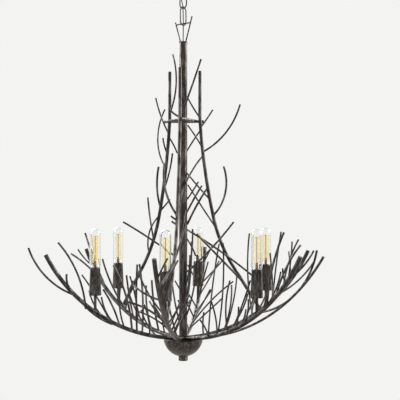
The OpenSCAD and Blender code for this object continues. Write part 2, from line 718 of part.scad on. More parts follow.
// Outline of the lamp glass, grown inwards by the wall
module glass_shape(wall) {
    r = glass_d / 2 - wall;
    neck_r = 8 - wall;
    foot = socket_top_z + 0.5;
    shoulder = cup_z + cup_h + 8;
    top = cup_z + cup_h + glass_rise;
    translate([0, 0, foot + wall]) cylinder(h = shoulder - foot, r = neck_r);
    intersection() {
        translate([0, 0, shoulder]) sphere(r = r);
        translate([0, 0, shoulder - 20]) cylinder(h = 20, r = r + 1);
    }
    translate([0, 0, shoulder]) cylinder(h = top - glass_d / 2 - shoulder, r = r);
    intersection() {
        translate([0, 0, top - glass_d / 2]) sphere(r = r);
        translate([0, 0, top - glass_d / 2]) cylinder(h = 20, r = r + 1);
    }
}

module lamp_glasses() {
    color(clear) at_candles() difference() {
        glass_shape(0);
        glass_shape(glass_wall);
    }
}

// The glass mount inside a lamp, with its support rod and the hooks that hold the filament up
mount_foot_z = socket_top_z + 0.5 + glass_wall;
mount_h = 24;
mount_r = 3;
filament_turns = 6;
filament_r = 0.3;
strand_r = 0.4;
cage_r = 6;
cage_low_z = mount_foot_z + mount_h - 4;
cage_high_z = cup_z + cup_h + glass_rise - 18;

module lamp_mounts() {
    rod_top = cage_high_z + 1;
    hooks = filament_turns / 2;
    color("saddlebrown") at_candles() {
        translate([0, 0, mount_foot_z]) cylinder(h = mount_h, r = mount_r);
        translate([0, 0, mount_foot_z + mount_h - 1])
            cylinder(h = rod_top - mount_foot_z - mount_h + 1, r = 0.8);
        for (i = [0:hooks - 1])
            rotate([0, 0, (2 * i + 1) * 360 / filament_turns]) translate([0, 0, cage_high_z])
                rotate([0, 90, 0]) cylinder(h = cage_r - filament_r - weld_gap, r = 0.3, $fn = 16);
    }
}

// One filament that runs up and down round a cage, with both ends led to the mount
module filament() {
    step = 360 / filament_turns;
    for (i = [0:filament_turns - 1])
        rotate([0, 0, (i + 0.5) * step]) translate([cage_r, 0, cage_low_z - strand_r])
            cylinder(h = cage_high_z - cage_low_z + 2 * strand_r, r = strand_r, $fn = 16);
    for (i = [0:filament_turns - 2])
        rotate([0, 0, (i + 0.5) * step]) translate([0, 0, i % 2 == 0 ? cage_high_z : cage_low_z])
            rotate_extrude(angle = step, $fn = 24) translate([cage_r, 0])
                circle(r = filament_r, $fn = 16);
    for (i = [0, filament_turns - 1])
        rotate([0, 0, (i + 0.5) * step]) translate([mount_r + weld_gap, 0, cage_low_z])
            rotate([0, 90, 0]) cylinder(h = cage_r - mount_r - weld_gap, r = filament_r, $fn = 16);
}

module lamp_filaments() {
    color(amber) at_candles() filament();
}

canopy();
mounting_strap();
canopy_nipple();
strap_locknut();
screw_collar();
canopy_loop();
chain_link(link_1_z, plane_b);  // chain_link_top
chain_link(link_2_z, plane_a);  // chain_link_middle
chain_link(link_3_z, plane_b);  // chain_link_bottom
supply_cord();
crown_rods();
crown_bar();
stem_cap();
stem();
hanger_rod(1);  // hanger_rod_1
hanger_rod(2);  // hanger_rod_2
hanger_rod(3);  // hanger_rod_3
brace_bar(1);  // brace_bar_1
brace_bar(2);  // brace_bar_2
brace_bar(3);  // brace_bar_3
hanger_twigs(1);  // hanger_twigs_1
hanger_twigs(2);  // hanger_twigs_2
hanger_twigs(3);  // hanger_twigs_3
stem_twigs();
arm(1);  // arm_1
arm(2);  // arm_2
arm(3);  // arm_3
arm(4);  // arm_4
arm(5);  // arm_5
arm(6);  // arm_6
arm_twigs(1);  // arm_twigs_1
arm_twigs(2);  // arm_twigs_2
arm_twigs(3);  // arm_twigs_3
arm_twigs(4);  // arm_twigs_4
arm_twigs(5);  // arm_twigs_5
arm_twigs(6);  // arm_twigs_6
hub_plate();
hub_nipple();
hub_locknut();
hub_bowl();
finial();
wire_splices();
candle_posts();
candle_cup(1);  // candle_cup_1
candle_cup(2);  // candle_cup_2
candle_cup(3);  // candle_cup_3
candle_cup(4);  // candle_cup_4
candle_cup(5);  // candle_cup_5
candle_cup(6);  // candle_cup_6
lamp_sockets();
lamp_shells();
lamp_glasses();
lamp_mounts();
lamp_filaments();
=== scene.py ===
"""Looks of the tiered twig chandelier.

The script gives the carried-over nodes their finishes and makes the supply cord, the turned sheet parts, the
beads of weld, the lamps' glasses and filaments, the studio and the camera. Lengths are metres in the part's
own frame: the origin is the centre of the ceiling face, +Z is up and +X runs along the first arm.
"""

import logging
import math
from dataclasses import dataclass
from enum import Enum
from typing import Iterable, Sequence

import bpy
from mathutils import Matrix, Vector
from mathutils.bvhtree import BVHTree


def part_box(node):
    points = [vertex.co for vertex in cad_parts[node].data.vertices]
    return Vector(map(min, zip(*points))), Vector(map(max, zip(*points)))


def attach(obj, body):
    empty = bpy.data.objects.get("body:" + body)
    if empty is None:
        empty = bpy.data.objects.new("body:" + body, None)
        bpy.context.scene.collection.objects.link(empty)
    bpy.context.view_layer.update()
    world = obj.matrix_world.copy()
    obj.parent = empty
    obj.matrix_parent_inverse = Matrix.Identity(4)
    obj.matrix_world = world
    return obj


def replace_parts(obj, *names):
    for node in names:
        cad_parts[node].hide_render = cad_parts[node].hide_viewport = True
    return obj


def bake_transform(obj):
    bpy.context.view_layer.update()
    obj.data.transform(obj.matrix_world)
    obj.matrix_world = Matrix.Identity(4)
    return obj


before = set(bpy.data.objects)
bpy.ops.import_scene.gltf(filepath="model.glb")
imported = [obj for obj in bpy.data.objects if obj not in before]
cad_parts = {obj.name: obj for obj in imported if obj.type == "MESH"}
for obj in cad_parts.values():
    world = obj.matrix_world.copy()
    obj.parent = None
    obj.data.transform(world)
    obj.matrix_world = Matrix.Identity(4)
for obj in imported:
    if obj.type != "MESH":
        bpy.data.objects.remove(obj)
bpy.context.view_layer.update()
log = logging.getLogger("chandelier")

MM = 0.001
# Points of a turned piece that are closer than this are merged.
MERGE = 0.001 * MM
# A turned piece that is closed on its axis ends in a ring of this radius, which is then merged.
POLE = 0.0003 * MM
# Corners of loose triangles meet where they fall on the same point of a grid this fine.
GRID_PER_METRE = 1e6
ARM_COUNT = 6
HANGER_COUNT = 3

Profile = Sequence[tuple[float, float]]
Color = tuple[float, float, float, float]
Socket = bpy.types.NodeSocket


class Body(str, Enum):
    """Bodies that the pieces ride on, from the ceiling down."""

    CEILING = "ceiling_fitting"
    TOP_LINK = "top_link"
    MIDDLE_LINK = "middle_link"
    BOTTOM_LINK = "bottom_link"
    FIXTURE = "fixture"


class Slot(str, Enum):
    """Material slots, after which the materials are named."""

    DARK_IRON = "dark_iron"
    WORN_IRON = "worn_iron"
    ZINC = "zinc_steel"
    JACKET = "cord_jacket"
    SPLICE = "splice_cap"
    SOCKET = "socket_body"
    BRASS = "lamp_brass"
    GLASS = "lamp_glass"
    MOUNT = "lamp_mount"
    FILAMENT = "filament"


def numbered(stem: str, count: int) -> list[str]:
    """Names of the numbered nodes stem_1 to stem_count."""
    return [f"{stem}_{k}" for k in range(1, count + 1)]


# Shader building


class NodeBench:
    """Adds nodes to one shader tree and wires them together."""

    def __init__(self, tree: bpy.types.NodeTree) -> None:
        """Starts with an empty tree."""
        self.tree = tree
        tree.nodes.clear()

    def add(self, kind: str, **settings: object) -> bpy.types.Node:
        """Adds a node.

        Args:
            kind: Blender's name of the node type.
            settings: properties of the node, set by name.

        Returns:
            The new node.
        """
        node = self.tree.nodes.new(kind)
        for name, value in settings.items():
            setattr(node, name, value)
        return node

    def wire(self, source: Socket, target: Socket) -> None:
        """Joins an output to an input."""
        self.tree.links.new(source, target)

    def noise(self, point: Socket, scale: Socket, detail: float) -> Socket:
        """Adds a noise texture.

        Args:
            point: where the noise is read.
            scale: cells per metre.
            detail: octaves.

        Returns:
            Its value output.
        """
        node = self.add("ShaderNodeTexNoise")
        node.inputs["Detail"].default_value = detail
        self.wire(point, node.inputs["Vector"])
        self.wire(scale, node.inputs["Scale"])
        return node.outputs["Fac"]

    def spread(self, value: Socket, low: float, high: float, to_low: float = 0.0,
               to_high: float = 1.0) -> Socket:
        """Maps a range of values onto another, clamped.

        Args:
            value: what is mapped.
            low: value that becomes to_low.
            high: value that becomes to_high.
            to_low: lower end of the result.
            to_high: upper end of the result.

        Returns:
            The mapped value.
        """
        node = self.add("ShaderNodeMapRange")
        node.inputs["From Min"].default_value = low
        node.inputs["From Max"].default_value = high
        node.inputs["To Min"].default_value = to_low
        node.inputs["To Max"].default_value = to_high
        self.wire(value, node.inputs["Value"])
        return node.outputs["Result"]

    def math(self, kind: str, a: Socket, b: Socket) -> Socket:
        """Adds a math node.

        Args:
            kind: its operation.
            a: first value.
            b: second value.

        Returns:
            The result, from 0 to 1.
        """
        node = self.add("ShaderNodeMath", operation=kind, use_clamp=True)
        self.wire(a, node.inputs[0])
        self.wire(b, node.inputs[1])
        return node.outputs["Value"]

    def bump(self, height: Socket, strength: float, depth: float) -> Socket:
        """Turns a height over the surface into a normal.

        Args:
            height: the height, from 0 to 1.
            strength: how strongly it shows.
            depth: distance between heights 0 and 1.

        Returns:
            The normal.
        """
        node = self.add("ShaderNodeBump")
        node.inputs["Strength"].default_value = strength
        node.inputs["Distance"].default_value = depth
        self.wire(height, node.inputs["Height"])
        return node.outputs["Normal"]

    def mix(self, share: Socket, a: Color | Socket, b: Color) -> Socket:
        """Mixes two colours.

        Args:
            share: share of the second colour.
            a: first colour, a socket or a value.
            b: second colour.

        Returns:
            The mixed colour.
        """
        node = self.add("ShaderNodeMix", data_type="RGBA")
        self.wire(share, node.inputs["Factor"])
        if isinstance(a, Socket):
            self.wire(a, node.inputs["A"])
        else:
            node.inputs["A"].default_value = a
        node.inputs["B"].default_value = b
        return node.outputs["Result"]


class ShaderGroup:
    """A shared effect: a node group with named inputs and outputs, built once."""

    name = "effect"
    inputs: dict[str, float] = {}
    outputs: tuple[str, ...] = ()

    def tree(self) -> bpy.types.NodeTree:
        """Gives the group, which is built at its first use."""
        found = bpy.data.node_groups.get(self.name)
        if found:
            return found
        tree = bpy.data.node_groups.new(self.name, "ShaderNodeTree")
        for name, value in self.inputs.items():
            socket = tree.interface.new_socket(name, in_out="INPUT", socket_type="NodeSocketFloat")
            socket.default_value = value
        for name in self.outputs:
            tree.interface.new_socket(name, in_out="OUTPUT", socket_type="NodeSocketFloat")
        self.build(NodeBench(tree))
        return tree

    def build(self, bench: NodeBench) -> None:
        """Fills the group's tree."""
        raise NotImplementedError

    def place(self, bench: NodeBench, **values: float) -> bpy.types.Node:
        """Places the group in a material.

        Args:
            bench: the material's tree.
            values: values of the group's inputs, with underscores for spaces.

        Returns:
            The group node.
        """
        node = bench.add("ShaderNodeGroup", node_tree=self.tree())
        for name, value in values.items():
            node.inputs[name.replace("_", " ")].default_value = value
        return node


class Patina(ShaderGroup):
    """Soft blotches and fine pits of a hand-rubbed painted finish."""

    name = "rubbed_patina"
    inputs = {"Blotch Scale": 30.0, "Pit Scale": 900.0}
    outputs = ("Blotches", "Pits")
    blotch_detail = 4.0
    blotch_range = (0.35, 0.65)
    pit_detail = 2.0

    def build(self, bench: NodeBench) -> None:
        """Reads two noises at the piece's own place."""
        given = bench.add("NodeGroupInput").outputs
        out = bench.add("NodeGroupOutput").inputs
        place = bench.add("ShaderNodeTexCoord").outputs["Object"]
        blotches = bench.noise(place, given["Blotch Scale"], self.blotch_detail)
        bench.wire(bench.spread(blotches, *self.blotch_range), out["Blotches"])
        bench.wire(bench.noise(place, given["Pit Scale"], self.pit_detail), out["Pits"])


class RubAndTopHighlight(ShaderGroup):
    """Places where the finish is lighter, in broken streaks: real rubbing by a dry brush or a hand, laid
    mostly on what faces up, which also paints a highlight on the top faces.

    A slope is the height of the surface's own normal, from -1 facing down to 1 facing up. Each mask gives two
    slopes and the two shares that they get.
    """

    name = "rub_and_top_highlight"
    inputs = {"Streak Scale": 60.0, "Amount": 0.5}
    outputs = ("Mask", "Underside")
    along_height = (1.0, 1.0, 0.3)
    streak_detail = 4.0
    streak_range = (0.45, 0.62)
    # Faces that point up get most of the lighter colour: a painted highlight on the top faces, over the real
    # rubbing.
    facing_up = (-0.3, 0.9, 0.25, 1.0)
    facing_down = (-0.9, 0.0, 0.7, 0.0)

    def build(self, bench: NodeBench) -> None:
        """Breaks a slope mask up into streaks along the height, and masks what faces down."""
        given = bench.add("NodeGroupInput").outputs
        out = bench.add("NodeGroupOutput").inputs
        surface = bench.add("ShaderNodeTexCoord").outputs
        stretch = bench.add("ShaderNodeMapping")
        stretch.inputs["Scale"].default_value = self.along_height
        bench.wire(surface["Object"], stretch.inputs["Vector"])
        streaks = bench.noise(stretch.outputs["Vector"], given["Streak Scale"], self.streak_detail)
        normal = bench.add("ShaderNodeSeparateXYZ")
        bench.wire(surface["Normal"], normal.inputs["Vector"])
        slope = normal.outputs["Z"]
        upward = bench.spread(slope, *self.facing_up)
        broken = bench.math("MULTIPLY", bench.spread(streaks, *self.streak_range), upward)
        bench.wire(bench.math("MULTIPLY", broken, given["Amount"]), out["Mask"])
        bench.wire(bench.spread(slope, *self.facing_down), out["Underside"])


@dataclass(frozen=True)
class Finish:
    """A finish of one material slot.

    Subclasses dress the surface; this one gives the parts that all have.
    """

    slot: Slot
    color: Color
    roughness: float

    def material(self) -> bpy.types.Material:
        """Gives the material, which is built at its first use."""
        name = f"{self.slot.value}_finish"
        found = bpy.data.materials.get(name)
        if found:
            return found
        made = bpy.data.materials.new(name)
        made.use_nodes = True
        made.diffuse_color = self.color
        bench = NodeBench(made.node_tree)
        shader = bench.add("ShaderNodeBsdfPrincipled")
        shader.inputs["Base Color"].default_value = self.color
        shader.inputs["Roughness"].default_value = self.roughness
        bench.wire(shader.outputs["BSDF"], bench.add("ShaderNodeOutputMaterial").inputs["Surface"])
        self.dress(bench, shader)
        return made

    def dress(self, bench: NodeBench, shader: bpy.types.Node) -> None:
        """Adds the surface's own detail."""
        raise NotImplementedError


@dataclass(frozen=True)
class RubbedAndHighlitMetal(Finish):
    """Painted or plated metal with blotches, pits and lighter places that are partly rubbed wear and partly a
    painted highlight on the top faces.
    """

    tint: Color
    rub_and_highlight_color: Color
    rub_and_highlight_amount: float
    metallic: float
    under: Color | None = None
    lacquer: float = 0.0
    lacquer_roughness: float = 0.22
    smoother: float = 0.08
    rougher: float = 0.12
    blotch_scale: float = 30.0
    streak_scale: float = 60.0
    pit_range: tuple[float, float] = (0.3, 0.7)
    pit_strength: float = 0.6
    pit_depth: float = 0.02 * MM

    def dress(self, bench: NodeBench, shader: bpy.types.Node) -> None:
        """Mixes base, tint and the lighter colour of rubbing and painted highlight, and roughens the pits."""
        patina = Patina().place(bench, Blotch_Scale=self.blotch_scale)
        rub_highlight_group = RubAndTopHighlight().place(bench, Amount=self.rub_and_highlight_amount, Streak_Scale=self.streak_scale)
        base = bench.mix(patina.outputs["Blotches"], self.color, self.tint)
        if self.under:
            base = bench.mix(rub_highlight_group.outputs["Underside"], base, self.under)
        # The lighter colour mixed in here is rubbed wear and a painted highlight, laid mostly on faces that
        # point up.
        bench.wire(bench.mix(rub_highlight_group.outputs["Mask"], base, self.rub_and_highlight_color), shader.inputs["Base Color"])
        pits = patina.outputs["Pits"]
        rough = (self.roughness - self.smoother, self.roughness + self.rougher)
        bench.wire(bench.spread(pits, *self.pit_range, *rough), shader.inputs["Roughness"])
        shader.inputs["Metallic"].default_value = self.metallic
        shader.inputs["Coat Weight"].default_value = self.lacquer
        shader.inputs["Coat Roughness"].default_value = self.lacquer_roughness
        bench.wire(bench.bump(pits, self.pit_strength, self.pit_depth), shader.inputs["Normal"])


@dataclass(frozen=True)
class Moulded(Finish):
    """Moulded plastic with a faint grain."""

    tint: Color
    blotch_scale: float = 120.0
    grain_scale: float = 2500.0
    grain_strength: float = 0.5
    grain_depth: float = 0.05 * MM

    def dress(self, bench: NodeBench, shader: bpy.types.Node) -> None:
        """Mixes a second tone in and adds the grain."""
        patina = Patina().place(bench, Blotch_Scale=self.blotch_scale, Pit_Scale=self.grain_scale)
        bench.wire(bench.mix(patina.outputs["Blotches"], self.color, self.tint), shader.inputs["Base Color"])
        grain = bench.bump(patina.outputs["Pits"], self.grain_strength, self.grain_depth)
        bench.wire(grain, shader.inputs["Normal"])


@dataclass(frozen=True)
class ClearGlass(Finish):
    """Thin clear glass, a little clouded in places and greyer where it is seen edge on."""

    edge: Color = (0.78, 0.77, 0.75, 1.0)
    edge_range: tuple[float, float] = (0.4, 0.85)
    clouding: float = 0.985
    cloud_scale: float = 60.0
    refraction: float = 1.45

    def dress(self, bench: NodeBench, shader: bpy.types.Node) -> None:
        """Makes the shader transmit, clouds its colour a little and greys its edges."""
        shader.inputs["Transmission Weight"].default_value = 1.0
        shader.inputs["IOR"].default_value = self.refraction
        patina = Patina().place(bench, Blotch_Scale=self.cloud_scale)
        clouded = (*(part * self.clouding for part in self.color[:3]), 1.0)
        body = bench.mix(patina.outputs["Blotches"], self.color, clouded)
        edge_on = bench.spread(bench.add("ShaderNodeLayerWeight").outputs["Facing"], *self.edge_range)
        bench.wire(bench.mix(edge_on, body, self.edge), shader.inputs["Base Color"])


@dataclass(frozen=True)
class GlowingWire(Finish):
    """Gold-coloured filament wire that glows faintly."""

    glow: Color = (0.95, 0.72, 0.2, 1.0)
    glow_strength: float = 0.4
    blotch_scale: float = 400.0
    metallic: float = 0.1

    def dress(self, bench: NodeBench, shader: bpy.types.Node) -> None:
        """Breaks the colour up along the wire and adds the glow."""
        patina = Patina().place(bench, Blotch_Scale=self.blotch_scale)
        bench.wire(bench.mix(patina.outputs["Blotches"], self.color, self.glow), shader.inputs["Base Color"])
        shader.inputs["Metallic"].default_value = self.metallic
        shader.inputs["Emission Color"].default_value = self.glow
        shader.inputs["Emission Strength"].default_value = self.glow_strength


# Each metal's lighter rub colour is laid in streaks mostly on faces that point up: partly real rubbed wear
# and partly a painted highlight.
DARK_IRON = RubbedAndHighlitMetal(Slot.DARK_IRON, (0.011, 0.0098, 0.0085, 1.0), roughness=0.29,
                        tint=(0.034, 0.024, 0.016, 1.0), rub_and_highlight_color=(0.32, 0.312, 0.3, 1.0), rub_and_highlight_amount=0.6,
                        under=(0.06, 0.04, 0.024, 1.0), metallic=0.7, lacquer=0.15, streak_scale=110.0)
WORN_IRON = RubbedAndHighlitMetal(Slot.WORN_IRON, (0.015, 0.0138, 0.0125, 1.0), roughness=0.28,
                        tint=(0.05, 0.038, 0.027, 1.0), rub_and_highlight_color=(0.31, 0.3, 0.285, 1.0), rub_and_highlight_amount=0.75,
                        under=(0.055, 0.036, 0.022, 1.0), metallic=0.7, lacquer=0.1, blotch_scale=45.0,
                        streak_scale=240.0, pit_depth=0.04 * MM)
ZINC = RubbedAndHighlitMetal(Slot.ZINC, (0.5, 0.5, 0.48, 1.0), roughness=0.32, tint=(0.62, 0.6, 0.52, 1.0),
                   rub_and_highlight_color=(0.75, 0.75, 0.74, 1.0), rub_and_highlight_amount=0.4, metallic=1.0)
BRASS = RubbedAndHighlitMetal(Slot.BRASS, (0.62, 0.45, 0.2, 1.0), roughness=0.3, tint=(0.5, 0.34, 0.15, 1.0),
                    rub_and_highlight_color=(0.8, 0.66, 0.38, 1.0), rub_and_highlight_amount=0.4, metallic=1.0)
JACKET = Moulded(Slot.JACKET, (0.03, 0.027, 0.024, 1.0), roughness=0.45, tint=(0.05, 0.043, 0.036, 1.0))
SPLICE = Moulded(Slot.SPLICE, (0.75, 0.28, 0.05, 1.0), roughness=0.4, tint=(0.66, 0.22, 0.04, 1.0))
SOCKET = Moulded(Slot.SOCKET, (0.03, 0.027, 0.024, 1.0), roughness=0.35, tint=(0.045, 0.04, 0.034, 1.0))
MOUNT = Moulded(Slot.MOUNT, (0.17, 0.06, 0.012, 1.0), roughness=0.3, tint=(0.25, 0.1, 0.022, 1.0))
GLASS = ClearGlass(Slot.GLASS, (0.97, 0.98, 0.98, 1.0), roughness=0.0)
FILAMENT = GlowingWire(Slot.FILAMENT, (0.8, 0.58, 0.16, 1.0), roughness=0.4)


# Modelling


def deselect() -> None:
    """Deselects every object, because an operator acts on all that is selected."""
    bpy.ops.object.select_all(action="DESELECT")


def named(name: str) -> bpy.types.Object:
    """Names the active object and its mesh, puts its origin at the frame's and gives it."""
    piece = bpy.context.object
    piece.name = name
    piece.data.name = name
    bpy.ops.object.transform_apply(location=True, rotation=True, scale=True)
    return piece


def apply_modifier(piece: bpy.types.Object, kind: str, **settings: object) -> None:
    """Adds a modifier to the active piece and applies it.

    Args:
        piece: the active object.
        kind: Blender's name of the modifier type.
        settings: the modifier's properties.
    """
    modifier = piece.modifiers.new(kind.lower(), kind)
    for name, value in settings.items():
        setattr(modifier, name, value)
    bpy.ops.object.modifier_apply(modifier=modifier.name)


def turned(name: str, profile: Profile, at: Vector = Vector(), sides: int = 64, closed: bool = True,
           smooth_deg: float = 35.0) -> bpy.types.Object:
    """Turns a profile round an upright axis, ring by ring.

    Args:
        name: name of the piece.
        profile: radius and height of each point, in order.
        at: foot of the axis.
        sides: points of each ring.
        closed: whether the last point is joined to the first, as round a wall with two faces.
        smooth_deg: edges flatter than this are smooth.

    Returns:
        The turned piece.
    """
    deselect()
    radius, height = profile[0]
    bpy.ops.mesh.primitive_circle_add(vertices=sides, radius=radius, location=(0, 0, height))
    bpy.ops.object.mode_set(mode="EDIT")
    bpy.ops.mesh.select_all(action="SELECT")
    for next_radius, next_height in [*profile[1:], *(profile[:1] if closed else ())]:
        bpy.ops.mesh.extrude_region_move(TRANSFORM_OT_translate={"value": (0, 0, next_height - height)})
        grow = next_radius / radius
        bpy.ops.transform.resize(value=(grow, grow, 1), center_override=(0, 0, next_height))
        radius, height = next_radius, next_height
    bpy.ops.mesh.select_all(action="SELECT")
    bpy.ops.mesh.remove_doubles(threshold=MERGE)
    bpy.ops.mesh.normals_make_consistent(inside=False)
    bpy.ops.transform.translate(value=at)
    bpy.ops.object.mode_set(mode="OBJECT")
    bpy.ops.object.shade_smooth_by_angle(angle=math.radians(smooth_deg))
    return named(name)


def wire_mesh(name: str, points: Iterable[Vector], radius: float, resolution: int = 3,
              smooth_deg: float = 60.0) -> bpy.types.Object:
    """Makes a round wire along points.

    Args:
        name: name of the piece.
        points: the wire's centre line.
        radius: radius of the wire.
        resolution: bevel steps in a quarter of its section.
        smooth_deg: edges flatter than this are smooth.

    Returns:
        The wire as a mesh with closed ends.
    """
    deselect()
    path = list(points)
    line = bpy.data.curves.new(name, "CURVE")
    line.dimensions = "3D"
    line.bevel_depth = radius
    line.bevel_resolution = resolution
    line.use_fill_caps = True
    spline = line.splines.new("POLY")
    spline.points.add(len(path) - 1)
    for point, place in zip(spline.points, path):
        point.co = (*place, 1.0)
    piece = bpy.data.objects.new(name, line)
    bpy.context.scene.collection.objects.link(piece)
    piece.select_set(True)
    bpy.context.view_layer.objects.active = piece
    bpy.ops.object.convert(target="MESH")
    bpy.ops.object.shade_smooth_by_angle(angle=math.radians(smooth_deg))
    return named(name)


def weld_ring(radius: float, bead: float, seed: int, segments: int = 16, section: int = 6,
              unevenness: float = 0.3) -> bpy.types.Object:
    """Lays an uneven ring of weld round the upright axis.

    Args:
        radius: radius of the ring's middle.
        bead: radius of the bead itself.
        seed: seed of its unevenness.
        segments: steps round the ring.
        section: steps round the bead.
        unevenness: how far its points stray, as a share of the bead's radius.

    Returns:
        The ring.
    """
    deselect()
    bpy.ops.mesh.primitive_torus_add(major_radius=radius, minor_radius=bead, major_segments=segments,
                                     minor_segments=section)
    bpy.ops.object.mode_set(mode="EDIT")
    bpy.ops.mesh.select_all(action="SELECT")
    bpy.ops.transform.vertex_random(offset=bead * unevenness, seed=seed)
    bpy.ops.object.mode_set(mode="OBJECT")
    piece = bpy.context.object
    apply_modifier(piece, "SUBSURF", levels=1, render_levels=1)
    bpy.ops.object.shade_smooth()
    return piece


def joined(name: str, pieces: Sequence[bpy.types.Object]) -> bpy.types.Object:
    """Joins pieces of one finish into one object.

    Args:
        name: name of the result.
        pieces: what is joined; all are used up.

    Returns:
        The joined piece.
    """
    deselect()
    for piece in pieces:
        piece.select_set(True)
    bpy.context.view_layer.objects.active = pieces[0]
    bpy.ops.object.join()
    return named(name)


def dress(piece: bpy.types.Object, finish: Finish, body: Body) -> bpy.types.Object:
    """Gives a new piece its finish and the body it rides on."""
    piece.data.materials.clear()
    piece.data.materials.append(finish.material())
    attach(piece, body.value)
    return piece


def dress_nodes(names: Iterable[str], finish: Finish) -> None:
    """Gives carried-over nodes their finish."""
    for name in names:
        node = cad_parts[name]
        node.data.materials.clear()
        node.data.materials.append(finish.material())


def around(piece: bpy.types.Object, names: Sequence[str]) -> list[bpy.types.Object]:
    """Copies a piece evenly round the upright axis.

    Args:
        piece: the first of them.
        names: names of all, with the first's own.

    Returns:
        The pieces, each with its own mesh.
    """
    piece.name = piece.data.name = names[0]
    pieces = [piece]
    for k, name in enumerate(names[1:], 1):
        mesh = piece.data.copy()
        mesh.name = name
        mesh.transform(Matrix.Rotation(math.tau * k / len(names), 4, "Z"))
        copy = bpy.data.objects.new(name, mesh)
        bpy.context.scene.collection.objects.link(copy)
        pieces.append(copy)
    return pieces


def ball_profile(rim_radius: float, land_radius: float, depth: float, shrink: float,
                 rings: int = 14) -> list[tuple[float, float]]:
    """Profile of a spun bowl that hangs from its rim, from the rim to the flat land.

    Args:
        rim_radius: radius of the rim, at height 0.
        land_radius: radius of the flat land at the foot.
        depth: depth of the land under the rim.
        shrink: how far inside the outer face.
        rings: steps of the curve.

    Returns:
        Radius and height of each point.
    """
    rise = (rim_radius ** 2 - land_radius ** 2 - depth ** 2) / (2 * depth)
    ball = math.hypot(rim_radius, rise) - shrink
    start, end = math.asin(rise / ball), math.asin((rise + depth - shrink) / ball)
    angles = [start + (end - start) * i / rings for i in range(rings + 1)]
    return [(ball * math.cos(a), rise - ball * math.sin(a)) for a in angles]


def islands(mesh: bpy.types.Mesh) -> list[list[Vector]]:
    """Parts of a mesh that aren't joined, each as its points.

    Args:
        mesh: a mesh of loose triangles, whose corners meet where their places are the same.

    Returns:
        The points of each part.
    """
    places: dict[tuple[int, int, int], int] = {}
    key_of = [places.setdefault(tuple(round(c * GRID_PER_METRE) for c in v.co), len(places))
              for v in mesh.vertices]
    root = list(range(len(places)))

    def find(i: int) -> int:
        """Gives the first point of i's part."""
        while root[i] != i:
            root[i] = root[root[i]]
            i = root[i]
        return i

    for edge in mesh.edges:
        a, b = (find(key_of[v]) for v in edge.vertices)
        root[b] = a
    parts: dict[int, list[Vector]] = {}
    for place, i in places.items():
        parts.setdefault(find(i), []).append(Vector(place) * (1 / GRID_PER_METRE))
    return list(parts.values())


# Sub-assemblies


@dataclass
class Camera:
    """The photograph's camera: level, with the picture shifted off the lens axis."""

    azimuth_deg: float = 40.3
    distance: float = 2.22
    height: float = -0.6126
    lens_mm: float = 85.7
    shift: tuple[float, float] = (0.042, 0.032)

    def build(self) -> None:
        """Adds the camera and makes it the scene's."""
        turn = math.radians(self.azimuth_deg)
        back = Vector((math.sin(turn), -math.cos(turn), 0.0))
        data = bpy.data.cameras.new("camera")
        data.lens = self.lens_mm
        data.shift_x, data.shift_y = self.shift
        camera = bpy.data.objects.new("camera", data)
        bpy.context.scene.collection.objects.link(camera)
        camera.location = back * self.distance + Vector((0, 0, self.height))
        camera.rotation_euler = (-back).to_track_quat("-Z", "Y").to_euler()
        bpy.context.scene.camera = camera


@dataclass
class SupplyCord:
    """Round jacketed lamp cord, woven through the links.

    It is made in four stretches that meet inside the links.
    """

    diameter: float = 2.6 * MM
    steps: int = 6
    bend_reach: float = 8 * MM
    points_mm: tuple[tuple[float, float, float], ...] = (
        (0, 0, -2), (0, 0, -20), (0, 0, -38), (3.5, -4, -53), (3.5, -4, -60), (0, -5, -76),
        (-3.5, -3.5, -92), (-3.5, -3.5, -98), (-5, 0, -115), (-3.5, 3.5, -131), (-3.5, 3.5, -138),
        (0, 0, -154), (3.5, -3.5, -170), (3.5, -3.5, -177), (0, 0, -196), (0, 0, -212), (0, 0, -240),
    )
    stretches: tuple[tuple[str, Body, Body, int, int], ...] = (
        ("supply_cord_top", Body.CEILING, Body.TOP_LINK, 0, 5),
        ("supply_cord_upper", Body.TOP_LINK, Body.MIDDLE_LINK, 5, 8),
        ("supply_cord_lower", Body.MIDDLE_LINK, Body.BOTTOM_LINK, 8, 11),
        ("supply_cord_foot", Body.BOTTOM_LINK, Body.FIXTURE, 11, 16),
    )

    def between(self, i: int, t: float) -> Vector:
        """Place on the Catmull-Rom curve from point i to the next, at the share t of the way."""
        points = [Vector(p) * MM for p in self.points_mm]
        a, b = points[max(i - 1, 0)], points[i]
        c, d = points[i + 1], points[min(i + 2, len(points) - 1)]
        return 0.5 * (2 * b + (c - a) * t + (2 * a - 5 * b + 4 * c - d) * t ** 2
                      + (3 * b - a - 3 * c + d) * t ** 3)

    def build(self) -> None:
        """Makes the stretches, gives each its jacket and hides the carried-over cord."""
        for name, upper, lower, first, last in self.stretches:
            path = [self.between(i, k / self.steps) for i in range(first, last) for k in range(self.steps)]
            path.append(self.between(last - 1, 1.0))
            piece = wire_mesh(name, path, self.diameter / 2)
            piece.data.materials.append(JACKET.material())
            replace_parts(piece, "supply_cord")
            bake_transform(piece)


